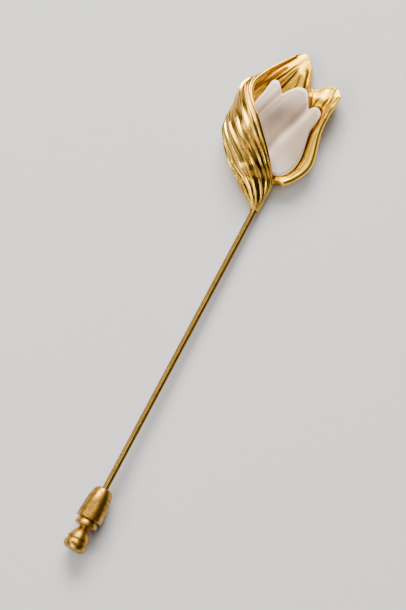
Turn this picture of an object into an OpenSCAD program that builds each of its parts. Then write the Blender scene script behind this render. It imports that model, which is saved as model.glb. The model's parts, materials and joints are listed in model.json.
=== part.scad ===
// Scarf pin with a tulip head: a cast and gilt cup, a frosted glass bud, a wire stem, and a pull-off guard.
// It lies on the plane z = 0 with the head's tip toward +Y and its open face up. Millimetres.

/* [Stem] */
// Diameter of the wire
stem_d = 0.9; // [0.8:0.02:0.92]
// Length of wire that shows between the cup and the guard
stem_shows = 43.6; // [30:0.2:60]
// Height of the wire's middle where it leaves the cup
foot_height = 0.96; // [0.9:0.02:1.1]
// Length of wire hidden in the cup's tail
tang_length = 1.4; // [1:0.1:1.4]
// Diameter of the collar where the wire leaves the cup
collar_d = 1.24; // [1.24:0.02:1.34]
// Length of the sharpened point
point_length = 1.2; // [0.8:0.1:1.3]

/* [Guard] */
// Radius of the barrel at its widest
barrel_r = 1.88; // [1.8:0.02:2.2]
// Radius of the barrel round its mouth
mouth_r = 1.1; // [0.9:0.05:1.3]
// Length of the barrel down to its groove
barrel_length = 4.8; // [4.5:0.1:6]
// Depth of the groove before the end ring
groove_depth = 0.3; // [0.1:0.05:0.4]
// Length of the end ring
ring_length = 1.05; // [0.8:0.05:1.2]
// Radius of the knob's neck
neck_r = 0.7; // [0.5:0.05:0.75]
// Length of neck that shows
neck_shows = 0.55; // [0.4:0.05:1]
// Radius of the knob
knob_r = 1.68; // [1.4:0.02:1.9]
// Length of the knob
knob_length = 3.05; // [2.6:0.05:3.6]
// Gap round the wire in the barrel's mouth
mouth_gap = 0.06; // [0.03:0.01:0.1]
// Travel of the knob when it is pulled
knob_travel = 1.0; // [0.6:0.1:1.1]

/* [Cup] */
// Height of the ribs on the front petal
rib_height = 0.17; // [0:0.01:0.25]
// Height of the folds inside the back petal
fold_height = 0.12; // [0:0.01:0.2]
// Part of the wall's thickness by which its edges are rounded out
edge_bulge = 0.3; // [0:0.05:0.4]

/* [Bud] */
// Height of the bud's face above its tips
bud_crown = 1.9; // [1.75:0.05:2]
// Extra thickness of the glass in its middle
bud_keel = 2.0; // [1:0.05:2.1]
// Thickness of the glass at its edge
bud_edge = 0.45; // [0.35:0.05:0.5]
// Depth of the bevel round its edge
bud_bevel = 0.15; // [0.1:0.05:0.2]

/* [Hidden] */
GOLD = "#c9a04a";
BRASS = "#b98f3f";
GLASS = "#dcd2d0";
stem_r = stem_d/2;

// Sections of the cup, from the front petal's edge over the left side and the back to the right lip.
// Each has its [x, y, z] on the outer face at the belly, girth, shoulder, throat and rim.
// The front petal's edge runs on as the back petal's left rim, and both petals' ribs meet at its tip.
CUP_SECTIONS = [
    // Front petal: its edge over the bud, its crest and its left side
    [[-1.3, 6.9, 4.8], [-4.4, 10.3, 5.3], [-8.0, 14.2, 4.0], [-7.7, 17.5, 2.6], [-4.95, 21.85, 1.2]],
    [[-2.4, 6.0, 5.4], [-5.6, 9.6, 5.8], [-8.9, 14.2, 3.3], [-7.8, 17.3, 1.65], [-4.75, 22.15, 0.74]],
    [[-3.5, 5.2, 5.5], [-7.0, 9.0, 5.3], [-9.4, 14.1, 2.1], [-7.4, 17.4, 1.15], [-4.25, 22.5, 0.5]],
    [[-4.8, 4.5, 4.7], [-8.4, 8.5, 4.1], [-9.1, 14.1, 1.0], [-6.6, 17.6, 0.9], [-3.6, 22.58, 0.5]],
    [[-6.0, 4.3, 3.0], [-9.05, 8.5, 2.3], [-8.0, 14.3, 0.4], [-5.5, 17.8, 0.8], [-3.1, 22.25, 0.6]],
    // Back petal, from its middle to its right side
    [[-5.6, 4.5, 1.2], [-8.3, 8.9, 0.7], [-6.2, 14.6, 0.3], [-4.2, 18.1, 0.9], [-2.7, 21.8, 0.8]],
    [[-3.9, 4.9, 0.3], [-5.3, 9.4, 0.0], [-4.1, 15.0, 0.35], [-2.8, 18.2, 1.0], [-2.0, 21.0, 1.0]],
    [[-2.1, 5.2, 0.0], [-2.3, 9.7, 0.0], [-1.9, 15.1, 0.4], [-1.6, 17.7, 1.0], [-1.4, 19.8, 1.2]],
    // Right petal: the notch, two places on its rolled top and its right lip
    [[-0.6, 5.4, 0.0], [0.2, 9.9, 0.0], [-0.3, 14.8, 0.4], [-0.5, 16.8, 0.85], [-0.6, 18.5, 1.2]],
    [[0.8, 5.4, 0.3], [2.3, 9.4, 0.1], [1.2, 14.5, 0.4], [1.1, 17.3, 1.0], [1.1, 19.8, 1.2]],
    [[1.8, 5.1, 1.0], [3.7, 9.0, 1.0], [2.7, 14.0, 0.7], [2.7, 17.1, 1.2], [2.5, 20.0, 1.2]],
    [[2.3, 4.8, 2.1], [4.3, 8.6, 2.1], [3.3, 13.7, 2.0], [3.2, 16.6, 1.9], [3.6, 19.4, 1.4]],
];
// Rings of the cup's tail: middle x, y and z, half width, half height, and how far its right side leads in y
TAIL_RINGS = [
    [0, 0, foot_height, 0.61, 0.61, 0],
    [-0.7, 1.5, foot_height + 0.14, 1.37, 1.02, 0.45],
    [-1.75, 3.4, 1.75, 2.38, 1.65, 0.95],
];
// Angle of the tail's seam on either side of its right, and the angle from one section to the next
SEAM_ANGLE = 15;
STEP_ANGLE = (360 - 2*SEAM_ANGLE)/(len(CUP_SECTIONS) - 1);
// Wall thickness at the foot, tail, neck, belly, girth, shoulder, throat and rim
CUP_WALL = [0.22, 0.27, 0.42, 0.7, 0.75, 0.7, 0.6, 0.45];
// Crests of the ribs, counted in sections from the front petal's edge, and of the folds inside
RIB_CRESTS = [0, 0.45, 0.9, 1.4, 1.9, 2.35, 2.8, 3.2, 3.6, 4, 4.5, 5];
FOLD_CRESTS = [2.35, 3.2, 4, 5, 6, 7, 8];
// Columns of the mesh between two ribs, two folds and two plain sections, and rows between two stations
RIB_COLUMNS = 4;
FOLD_COLUMNS = 6;
PLAIN_COLUMNS = 4;
STATION_ROWS = 4;

// A cubic through p1 and p2, and its slope
function spline(p0, p1, p2, p3, f) =
    0.5*(2*p1 + (p2 - p0)*f + (2*p0 - 5*p1 + 4*p2 - p3)*f*f + (3*p1 - p0 - 3*p2 + p3)*f*f*f);
function spline_slope(p0, p1, p2, p3, f) =
    0.5*((p2 - p0) + 2*(2*p0 - 5*p1 + 4*p2 - p3)*f + 3*(3*p1 - p0 - 3*p2 + p3)*f*f);
// The four points round place x of a curve, where x counts points from the first
function span(points, x) =
    let (last = len(points) - 1, i = max(0, min(last - 1, floor(x))))
    [
        i > 0 ? points[i - 1] : 2*points[0] - points[1],
        points[i],
        points[i + 1],
        i < last - 1 ? points[i + 2] : 2*points[last] - points[last - 1],
        x - i,
    ];
function on_curve(points, x) = let (p = span(points, x)) spline(p[0], p[1], p[2], p[3], p[4]);
function slope_on_curve(points, x) = let (p = span(points, x)) spline_slope(p[0], p[1], p[2], p[3], p[4]);
function unit(v) = v/max(norm(v), 1e-9);
function fade(x, from, to) = let (f = max(0, min(1, (x - from)/(to - from)))) f*f*(3 - 2*f);

// The whole of section i, from the foot to the rim
function ring_point(ring, angle) =
    [ring[0] + ring[3]*cos(angle), ring[1] + ring[5]*cos(angle), ring[2] + ring[4]*sin(angle)];
function section(i) = concat(
    [for (ring = TAIL_RINGS) ring_point(ring, SEAM_ANGLE + i*STEP_ANGLE)],
    CUP_SECTIONS[i]
);
SECTIONS = [for (i = [0:len(CUP_SECTIONS) - 1]) section(i)];
LAST_SECTION = len(SECTIONS) - 1;
LAST_STATION = len(SECTIONS[0]) - 1;

// Height of a wave with crests at the listed places
function wave(crests, s) =
    let (inside = [for (i = [0:len(crests) - 2]) if (s >= crests[i] && s < crests[i + 1]) i])
    len(inside) == 0 ? 0 :
    let (i = inside[0], f = (s - crests[i])/(crests[i + 1] - crests[i]))
    pow(0.5 + 0.5*cos(360*f), 1.5);
function rib(s, t) =
    rib_height*wave(RIB_CRESTS, s)*fade(t, 0.2, 2)*(1 - fade(t, 5, 6.8))*(1 - fade(s, 3.8, 4.9));
function fold(s, t) =
    fold_height*wave(FOLD_CRESTS, s)*fade(t, 4.6, 5.6)*(1 - fade(t, 6, 7));
// Part of the wall taken away where the left rim curls tightly up to the tip
function rim_thinning(s, t) = (0.5*fade(t, 4.8, 6) + 0.15*fade(t, 6, 7))*(1 - fade(s, 3, 4.5));

// Columns of the mesh: four to a rib and to a fold, fewer on the plain right petal
function between(crests, count) =
    [for (i = [0:len(crests) - 2], c = [0:count - 1]) crests[i] + (crests[i + 1] - crests[i])*c/count];
COLUMNS = concat(
    between(RIB_CRESTS, RIB_COLUMNS),
    between([5, 6, 7, 8], FOLD_COLUMNS),
    between([8, 9, 10, 11], PLAIN_COLUMNS),
    [11]
);
ROWS = [for (k = [0:LAST_STATION*STATION_ROWS]) k/STATION_ROWS];

// One row of the cup at station t: for each column its [outer, inner, edge] points
function above_floor(p) = [p[0], p[1], max(p[2], 0)];
function cup_row(t) =
    let (
        ring = [for (s = SECTIONS) on_curve(s, t)],
        rise = [for (s = SECTIONS) slope_on_curve(s, t)],
        wall = on_curve(CUP_WALL, t)
    )
    [for (s = COLUMNS)
        let (
            base = on_curve(ring, s),
            across = unit(slope_on_curve(ring, s)),
            along = unit(on_curve(rise, s)),
            out = unit(cross(along, across)),
            outer = above_floor(base + out*rib(s, t)),
            thick = wall*(1 - rim_thinning(s, t)),
            inner = base - out*(thick + fold(s, t)),
            outward = (s == 0 ? -across : s == LAST_SECTION ? across : [0, 0, 0])
                + (t == LAST_STATION ? along : [0, 0, 0])
        )
        [outer, inner, (outer + inner)/2 + unit(outward)*thick*edge_bulge]
    ];
CUP = [for (t = ROWS) cup_row(t)];
COLS = len(COLUMNS);
LAST_COL = COLS - 1;
LAST_ROW = len(ROWS) - 1;
// The free edge as a loop of [row, column]
RIM_LOOP = concat(
    [for (c = [0:LAST_COL]) [0, c]],
    [for (r = [1:LAST_ROW]) [r, LAST_COL]],
    [for (c = [LAST_COL - 1:-1:0]) [LAST_ROW, c]],
    [for (r = [LAST_ROW - 1:-1:1]) [r, 0]]
);
function quad(a, b, c, d) = [[a, b, c], [a, c, d]];
function flat(lists) = [for (list = lists) each list];

collar_length = 0.4;
// The barrel's widest part is a short straight band
widest_band = 0.5;
// The wire's line: it slopes so that the barrel's widest band lies on the floor
guard_at = collar_length + stem_shows;
widest_at = guard_at + barrel_length - widest_band;
reach = norm([widest_at, barrel_r]);
lie_angle = atan2(barrel_r, widest_at) - asin(foot_height/reach);
guard_end = guard_at + barrel_length + ring_length + neck_shows + knob_length;

// Middle of the box round the whole part, which the part is centred on
knob_end_r = knob_r - 0.33;
pin_end = -guard_end*cos(lie_angle) - knob_end_r*sin(lie_angle);
CUP_X = [for (row = CUP, p = row) p[0][0]];
CUP_Y = [for (row = CUP, p = row) max(p[0][1], p[2][1])];
CENTRE = [(min(CUP_X) + max(CUP_X))/2, (max(CUP_Y) + pin_end)/2, 0];

module centred() {
    translate(-CENTRE) children();
}

// Turned pieces are drawn along +Z, which becomes the way from the head to the guard
module on_wire(distance) {
    centred()
        translate([0, 0, foot_height])
            rotate([90 - lie_angle, 0, 0])
                translate([0, 0, distance]) children();
}

module tulip_cup() {
    count = COLS*(LAST_ROW + 1);
    points = concat(
        [for (row = CUP, p = row) p[0]],
        [for (row = CUP, p = row) p[1]],
        [for (at = RIM_LOOP) CUP[at[0]][at[1]][2]]
    );
    skin = flat([for (r = [0:LAST_ROW - 1], c = [0:LAST_COL - 1])
        let (a = r*COLS + c, b = a + 1, d = a + COLS, e = d + 1)
        concat(quad(a, b, e, d), quad(count + d, count + e, count + b, count + a))]);
    edge = flat([for (k = [0:len(RIM_LOOP) - 1])
        let (
            next = (k + 1)%len(RIM_LOOP),
            a = RIM_LOOP[k][0]*COLS + RIM_LOOP[k][1],
            b = RIM_LOOP[next][0]*COLS + RIM_LOOP[next][1],
            m = 2*count + k,
            n = 2*count + next
        )
        concat(quad(b, a, m, n), quad(n, m, count + a, count + b))]);
    color(GOLD) centred() polyhedron(points = points, faces = concat(skin, edge), convexity = 10);
}

// Outline of the bud from above: its right side and lobe, its middle lobe, then its left lobe and side.
// Two curves meet in a corner at each notch and at the bottom.
BUD_CURVES = [
    [[0.1, 5.2], [1.4, 5.9], [2.2, 7.4], [2.4, 9.2], [2.1, 11.1], [1.8, 12.9], [2.0, 14.5], [2.0, 15.7],
     [1.4, 16.4], [0.7, 16.2], [0.2, 15.6]],
    [[0.2, 15.6], [-0.4, 16.7], [-1.1, 17.7], [-1.8, 17.9], [-2.6, 17.6], [-3.4, 16.6], [-4.0, 15.8]],
    [[-4.0, 15.8], [-4.7, 16.7], [-5.4, 17.3], [-6.1, 16.9], [-6.3, 15.4], [-6.7, 13.5], [-7.0, 11.3],
     [-6.6, 8.9], [-5.2, 6.8], [-3.2, 5.9], [-1.2, 5.3], [0.1, 5.2]],
];
// Middle of the bud and half sizes of the dome that its face is part of
BUD_MIDDLE = [-2.3, 10.4];
BUD_DOME = [5.7, 8.5];
// Part of the dome that its notches reach in to
BUD_CORE = 0.78;
BUD_TIP_HEIGHT = 1.95;
// Rise of the whole bud toward its tips, in mm for each mm
BUD_RISE = 0.055;
// Steps between two outline points, and rings on the face and the back, as parts of the way to the edge
BUD_STEPS = 2;
BUD_FACE = [0.12, 0.26, 0.4, 0.54, 0.68, 0.8, 0.9, 0.96, 1];
BUD_BACK = [0.25, 0.5, 0.75, 0.92, 1];
// Creases of the bud's face: [x, y] at the notch, [x, y] where it ends, depth, half width
BUD_CREASES = [
    [[-4.0, 15.8], [-6.2, 9.6], 0.22, 0.7],
    [[0.2, 15.6], [-1.6, 8.2], 0.16, 0.9],
];
BUD_OUTLINE = [for (curve = BUD_CURVES, k = [0:(len(curve) - 1)*BUD_STEPS - 1]) on_curve(curve, k/BUD_STEPS)];

function sum(list, i = 0) = i >= len(list) ? 0 : list[i] + sum(list, i + 1);
function line_distance(p, a, b) =
    let (f = max(0, min(1, ((p - a)*(b - a))/((b - a)*(b - a))))) norm(p - a - (b - a)*f);
function creases(p) = sum([for (c = BUD_CREASES) c[2]*exp(-pow(line_distance(p, c[0], c[1])/c[3], 2))]);
function dome(p) =
    let (d = [for (k = [0:1]) (p[k] - BUD_MIDDLE[k])/BUD_DOME[k]])
    BUD_TIP_HEIGHT + bud_crown*max(0, 1 - d*d) + BUD_RISE*(p[1] - 8);
// Part f of the way from the middle to an outline point: inner rings follow the dome's ellipse, not the lobes
function bud_spot(edge, f) =
    let (
        away = edge - BUD_MIDDLE,
        core = away*BUD_CORE/norm([away[0]/BUD_DOME[0], away[1]/BUD_DOME[1]]),
        lobed = fade(f, 0.6, 1)
    )
    BUD_MIDDLE + (core*(1 - lobed) + away*lobed)*f;
// A point of the bud's face and of its back
function bud_face(edge, f) =
    let (p = bud_spot(edge, f))
    [p[0], p[1], dome(p) - creases(p) - bud_bevel*pow(f, 14)];
function bud_back(edge, f) =
    let (p = bud_spot(edge, f))
    [p[0], p[1], dome(p) - bud_edge - bud_bevel - bud_keel*pow(1 - f*f, 0.8)];

module glass_bud() {
    around = len(BUD_OUTLINE);
    faces_at = len(BUD_FACE);
    backs_at = len(BUD_BACK);
    points = concat(
        [for (f = BUD_FACE, edge = BUD_OUTLINE) bud_face(edge, f)],
        [for (f = BUD_BACK, edge = BUD_OUTLINE) bud_back(edge, f)],
        [bud_face(BUD_OUTLINE[0], 0), bud_back(BUD_OUTLINE[0], 0)]
    );
    first_back = around*faces_at;
    middle = around*(faces_at + backs_at);
    rings = flat([for (k = [0:around - 1])
        let (n = (k + 1)%around)
        flat([
            [[middle, n, k]],
            [[middle + 1, first_back + k, first_back + n]],
            flat([for (j = [0:faces_at - 2])
                quad(j*around + k, j*around + n, (j + 1)*around + n, (j + 1)*around + k)]),
            flat([for (j = [0:backs_at - 2])
                let (a = first_back + j*around)
                quad(a + around + k, a + around + n, a + n, a + k)]),
            quad(first_back - around + k, first_back - around + n, middle - around + n, middle - around + k),
        ])]);
    color(GLASS) centred() polyhedron(points = points, faces = rings, convexity = 6);
}

// The wire is turned down where the cup and the guard hide it, and the guard's mouth stops at its shoulder
hidden_r = stem_r - 0.16;
shoulder_gap = 0.05;
tip_r = 0.06;
straight_in_guard = 1.5;
collar_r = collar_d/2;
collar_start = 0.02;
collar_round = 0.04;
// The collar narrows as a cone whose end is inside the wire
cone_length = 0.24;
COLLAR_PROFILE = [
    [0, collar_start], [collar_r - collar_round, collar_start], [collar_r, collar_start + collar_round],
    [collar_r, collar_length - collar_round],
    [hidden_r, collar_length - collar_round + cone_length], [0, collar_length - collar_round + cone_length],
];

module pin_stem() {
    color(GOLD) {
        on_wire(-tang_length) cylinder(h = tang_length + collar_start*2, r = hidden_r, $fn = 48);
        on_wire(0) rotate_extrude($fn = 64) polygon(COLLAR_PROFILE);
        on_wire(collar_length/2)
            cylinder(h = guard_at - shoulder_gap - collar_length/2, r = stem_r, $fn = 48);
        on_wire(guard_at - shoulder_gap)
            cylinder(h = shoulder_gap + straight_in_guard, r = hidden_r, $fn = 48);
        on_wire(guard_at + straight_in_guard)
            cylinder(h = point_length, r1 = hidden_r, r2 = tip_r, $fn = 48);
    }
}

// Barrel: a domed shoulder, a nearly straight side, a groove and a rounded end ring, bored through
bore_r = hidden_r + mouth_gap;
mouth_length = 1.3;
cavity_r = 1.15;
end_wall = 0.8;
neck_gap = 0.06;
mouth_flat = 0.15;
dome_length = 2.6;
dome_r = 0.93*barrel_r;
corner = 0.1;
groove_width = 0.2;
ring_r = barrel_r - 0.25;
ring_round = 0.3;
barrel_total = barrel_length + ring_length;
groove_end = barrel_length + groove_width;
function shoulder(a) = [mouth_r + (dome_r - mouth_r)*sin(a), dome_length*(1 - cos(a))];
function end_ring(a) =
    [ring_r - ring_round + ring_round*cos(a), groove_end + (barrel_total - groove_end)*(1 + sin(a))/2];
BARREL_PROFILE = concat(
    [[bore_r, 0], [mouth_r - mouth_flat, 0]],
    [for (a = [0:10:90]) shoulder(a)],
    [[barrel_r, barrel_length - widest_band], [barrel_r, barrel_length - corner]],
    [[barrel_r - corner, barrel_length]],
    [[ring_r - groove_depth, barrel_length + groove_width/2], [ring_r - groove_depth, groove_end]],
    [for (a = [-60:20:80]) end_ring(a)],
    [[neck_r + neck_gap, barrel_total], [neck_r + neck_gap, barrel_total - end_wall]],
    [[cavity_r, barrel_total - end_wall], [cavity_r, mouth_length], [bore_r, mouth_length]]
);

module clutch_barrel() {
    color(BRASS) on_wire(guard_at) rotate_extrude($fn = 72) polygon(BARREL_PROFILE);
}

// Knob: a bell on a neck, a groove round it and a rounded end; a catch inside the barrel keeps it on
knob_at = barrel_total + neck_shows;
knob_end = knob_at + knob_length;
catch_r = cavity_r - neck_gap;
catch_length = 0.6;
catch_clear = 0.05;
catch_end = barrel_total - end_wall - knob_travel - catch_clear;
bell_length = 1.6;
bell_r = knob_r - 0.05;
knob_groove_depth = 0.17;
band_at = 2.05;
band_round = 0.5;
// Angles on the rounded band where it starts at the groove and where it meets the flat end
BAND_START = -20;
BAND_STOP = 70;
function bell(d) = neck_r + (bell_r - neck_r)*fade(d, 0, bell_length);
function band(a) =
    let (f = (sin(a) - sin(BAND_START))/(sin(BAND_STOP) - sin(BAND_START)))
    [knob_r - band_round*(1 - cos(a)), knob_at + band_at + 0.05 + (knob_length - band_at - 0.05)*f];
KNOB_PROFILE = concat(
    [[0, catch_end - catch_length], [catch_r, catch_end - catch_length]],
    [[catch_r, catch_end], [neck_r, catch_end]],
    [for (d = [0:0.2:bell_length]) [bell(d), knob_at + d]],
    [[bell_r, knob_at + band_at - groove_width], [knob_r - knob_groove_depth, knob_at + band_at]],
    [for (a = [BAND_START:15:BAND_STOP]) band(a)],
    [[0, knob_end]]
);

module clutch_knob() {
    color(BRASS) on_wire(guard_at) rotate_extrude($fn = 72) polygon(KNOB_PROFILE);
}

tulip_cup();
glass_bud();
pin_stem();
clutch_barrel();
clutch_knob();
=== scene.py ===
"""Scarf pin with a tulip head: the looks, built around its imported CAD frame.

Metres, in the frame's own axes."""

import json
import math

import bpy
import numpy as np
from bpy.props import FloatProperty, FloatVectorProperty, IntProperty, PointerProperty
from bpy.types import Operator, Panel, PropertyGroup
from mathutils import Matrix, Vector


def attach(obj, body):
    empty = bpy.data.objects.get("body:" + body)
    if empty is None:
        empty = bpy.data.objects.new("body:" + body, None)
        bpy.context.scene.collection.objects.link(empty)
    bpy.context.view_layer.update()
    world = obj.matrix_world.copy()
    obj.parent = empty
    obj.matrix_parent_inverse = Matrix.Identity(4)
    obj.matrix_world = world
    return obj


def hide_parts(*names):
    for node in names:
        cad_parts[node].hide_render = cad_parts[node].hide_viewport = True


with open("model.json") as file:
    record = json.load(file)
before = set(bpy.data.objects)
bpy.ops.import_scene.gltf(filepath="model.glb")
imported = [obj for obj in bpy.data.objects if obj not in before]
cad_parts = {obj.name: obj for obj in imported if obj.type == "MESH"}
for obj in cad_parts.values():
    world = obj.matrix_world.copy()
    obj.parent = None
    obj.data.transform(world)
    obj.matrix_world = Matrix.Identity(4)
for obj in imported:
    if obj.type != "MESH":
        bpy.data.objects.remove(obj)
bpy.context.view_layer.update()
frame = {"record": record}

bl_info = {
    "name": "Scarf pin with a tulip head",
    "version": (1, 0, 0),
    "blender": (4, 5, 0),
    "location": "3D view > Sidebar > Scarf pin",
    "description": "Builds a scarf pin: a gilt tulip cup, a frosted glass bud, a wire and a pull-off guard",
    "category": "Object",
}

# Sizes in the tables and the mesh code are in millimetres, and become metres with this
MM = 0.001


def linear(code):
    """A sRGB hex colour as linear red, green and blue."""
    parts = [int(code[k:k + 2], 16) / 255 for k in (1, 3, 5)]
    return tuple(p / 12.92 if p <= 0.04045 else ((p + 0.055) / 1.055) ** 2.4 for p in parts)


def fade(x, start, stop):
    """0 before start, 1 after stop and smooth between them."""
    f = np.clip((x - start) / (stop - start), 0, 1)
    return f * f * (3 - 2 * f)


def unit(v):
    """Vectors of length 1 along those of v."""
    return v / np.maximum(np.linalg.norm(v, axis=-1, keepdims=True), 1e-9)


def curve(points, x):
    """Places and slopes on the smooth curve through points, where x counts points from the first."""
    points = np.asarray(points, float)
    x = np.asarray(x, float)
    padded = np.concatenate([2 * points[:1] - points[1:2], points, 2 * points[-1:] - points[-2:-1]])
    i = np.clip(np.floor(x).astype(int), 0, len(points) - 2)
    f = (x - i).reshape((-1,) + (1,) * (points.ndim - 1))
    a, b, c, d = (padded[i + k] for k in range(4))
    place = 0.5 * (2 * b + (c - a) * f + (2 * a - 5 * b + 4 * c - d) * f**2 + (3 * b - a - 3 * c + d) * f**3)
    slope = 0.5 * ((c - a) + 2 * (2 * a - 5 * b + 4 * c - d) * f + 3 * (3 * b - a - 3 * c + d) * f**2)
    return place, slope


# The pin's own frame, as part.scad has it: the wire leaves the head's foot at FOOT and runs along WIRE_WAY.
FOOT = np.array([2.62701, 15.4104, 0.96])
SLOPE = math.radians(1.09101)
WIRE_WAY = np.array([0, -math.cos(SLOPE), math.sin(SLOPE)])
WIRE_SIDE = np.array([1.0, 0, 0])
WIRE_UP = np.cross(WIRE_WAY, WIRE_SIDE)
# The head's tables have their origin on the floor under the foot
HEAD_SHIFT = np.array([FOOT[0], FOOT[1], 0])
# From the foot to the guard's mouth, along the wire
GUARD_AT = 44.0


# Meshes


def make_piece(name, points, faces, body, nodes, material, attributes=None):
    """A smooth closed mesh, in millimetres, that rides on a body and stands for its CAD nodes."""
    mesh = bpy.data.meshes.new(name)
    mesh.from_pydata((np.asarray(points) * MM).tolist(), [], faces)
    mesh.polygons.foreach_set("use_smooth", np.ones(len(mesh.polygons), bool))
    for title, values in (attributes or {}).items():
        layer = mesh.attributes.new(title, "FLOAT", "POINT")
        layer.data.foreach_set("value", np.asarray(values, np.float32).ravel())
    mesh.materials.append(material)
    mesh.update()
    piece = bpy.data.objects.new(name, mesh)
    bpy.context.scene.collection.objects.link(piece)
    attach(piece, body)
    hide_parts(*nodes)
    return piece


def turned(profile, segments):
    """Points and faces of a profile of [distance, radius] turned round the wire's line.

    Radius 0 closes an end."""
    points, rings = [], []
    for distance, radius in profile:
        middle = FOOT + WIRE_WAY * distance
        rings.append((len(points), radius > 0))
        if radius > 0:
            angles = np.arange(segments) * 2 * math.pi / segments
            points += [middle + radius * (math.cos(a) * WIRE_SIDE + math.sin(a) * WIRE_UP) for a in angles]
        else:
            points.append(middle)
    faces = []
    count = len(rings)
    closed = rings[0][1] and rings[-1][1]
    for k in range(count if closed else count - 1):
        (a, wide_a), (b, wide_b) = rings[k], rings[(k + 1) % count]
        for j in range(segments):
            n = (j + 1) % segments
            if wide_a and wide_b:
                faces.append((a + j, a + n, b + n, b + j))
            elif wide_b:
                faces.append((a, b + n, b + j))
            else:
                faces.append((a + j, a + n, b))
    return points, faces


def rounded(rows, steps):
    """A profile of [distance, radius] from rows of [distance, radius, rounding], with its corners rounded."""
    # No corner takes up more than this part of the lines beside it
    most = 0.48
    places = [np.array(row[:2], float) for row in rows]
    profile = [places[0]]
    for before, here, after, row in zip(places, places[1:], places[2:], rows[1:]):
        reach = min(row[2], most * np.linalg.norm(before - here), most * np.linalg.norm(after - here))
        if reach < 1e-6:
            profile.append(here)
            continue
        start = here + unit(before - here) * reach
        stop = here + unit(after - here) * reach
        for f in np.linspace(0, 1, steps + 1):
            profile.append((1 - f) ** 2 * start + 2 * f * (1 - f) * here + f**2 * stop)
    profile.append(places[-1])
    return profile


# The head's shape

# The bud's outline, [x, y] from its foot up its right side and round its three lobes back to its foot
BUD_CURVES = [
    [[0.1, 5.2], [1.4, 5.9], [2.2, 7.4], [2.4, 9.2], [2.1, 11.1], [1.8, 12.9], [2.0, 14.5], [2.0, 15.7],
     [1.4, 16.4], [0.7, 16.2], [0.2, 15.6]],
    [[0.2, 15.6], [-0.4, 16.7], [-1.1, 17.7], [-1.8, 17.9], [-2.6, 17.6], [-3.4, 16.6], [-4.0, 15.8]],
    [[-4.0, 15.8], [-4.7, 16.7], [-5.4, 17.3], [-6.1, 16.9], [-6.3, 15.4], [-6.7, 13.5], [-7.0, 11.3],
     [-6.6, 8.9], [-5.2, 6.8], [-3.2, 5.9], [-1.2, 5.3], [0.1, 5.2]],
]
# The part of it along which the cup's right side runs
BUD_SIDE = np.array(BUD_CURVES[0][:8])

# Places on the cup are given by station, from 0 at the tail's end to 7 at the rim, and by section, from 0 at
# the front petal's edge over the left side and the back to 11 at the right lip.
GIRTH, RIM = 4, 7
# Each section has [x, y, z] on the outer face at the belly, girth, shoulder, throat and rim, stations 3 to 7
CUP_SECTIONS = [
    [[-1.3, 6.9, 4.8], [-4.4, 10.3, 5.3], [-8.0, 14.2, 4.0], [-7.7, 17.5, 2.6], [-4.95, 21.85, 1.2]],
    [[-2.4, 6.0, 5.4], [-5.6, 9.6, 5.8], [-8.9, 14.2, 3.3], [-7.8, 17.3, 1.65], [-4.75, 22.15, 0.74]],
    [[-3.5, 5.2, 5.5], [-7.0, 9.0, 5.3], [-9.4, 14.1, 2.1], [-7.4, 17.4, 1.15], [-4.25, 22.5, 0.5]],
    [[-4.8, 4.5, 4.7], [-8.4, 8.5, 4.1], [-9.1, 14.1, 1.0], [-6.6, 17.6, 0.9], [-3.6, 22.58, 0.5]],
    [[-6.0, 4.3, 3.0], [-9.05, 8.5, 2.3], [-8.0, 14.3, 0.4], [-5.5, 17.8, 0.8], [-3.1, 22.25, 0.6]],
    [[-5.6, 4.5, 1.2], [-8.3, 8.9, 0.7], [-6.2, 14.6, 0.3], [-4.2, 18.1, 0.9], [-2.7, 21.8, 0.8]],
    [[-3.9, 4.9, 0.3], [-5.3, 9.4, 0.0], [-4.1, 15.0, 0.35], [-2.8, 18.2, 1.0], [-2.0, 21.0, 1.0]],
    [[-2.1, 5.2, 0.0], [-2.3, 9.7, 0.0], [-1.9, 15.1, 0.4], [-1.6, 17.7, 1.0], [-1.4, 19.8, 1.2]],
    [[-0.6, 5.4, 0.0], [0.2, 9.9, 0.0], [-0.3, 14.8, 0.4], [-0.5, 16.8, 0.85], [-0.6, 18.5, 1.2]],
    [[0.8, 5.4, 0.3], [2.3, 9.4, 0.1], [1.2, 14.5, 0.4], [1.1, 17.3, 1.0], [1.1, 19.8, 1.2]],
    [[1.8, 5.1, 1.0], [3.7, 9.0, 1.0], [2.7, 14.0, 0.7], [2.7, 17.1, 1.2], [2.5, 20.0, 1.2]],
    [[2.3, 4.8, 2.1], [4.3, 8.6, 2.1], [3.3, 13.7, 2.0], [3.2, 16.6, 1.9], [3.6, 19.4, 1.4]],
]
# Rings of the tail, stations 0 to 2: middle x, y and z, half width, half height, how far its right side leads
# in y, and the angle of the seam
TAIL_RINGS = [
    [0, 0, 0.96, 0.61, 0.61, 0, 4],
    [-0.7, 1.5, 1.1, 1.37, 1.02, 0.45, 4],
    [-1.75, 3.4, 1.75, 2.38, 1.65, 0.95, 11],
]
# Thickness of the wall at each station
CUP_WALL = [0.22, 0.27, 0.42, 0.7, 0.75, 0.7, 0.6, 0.45]
# Length of the cup from one station to the next, on average
STATION_LENGTH = 3.6

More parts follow.
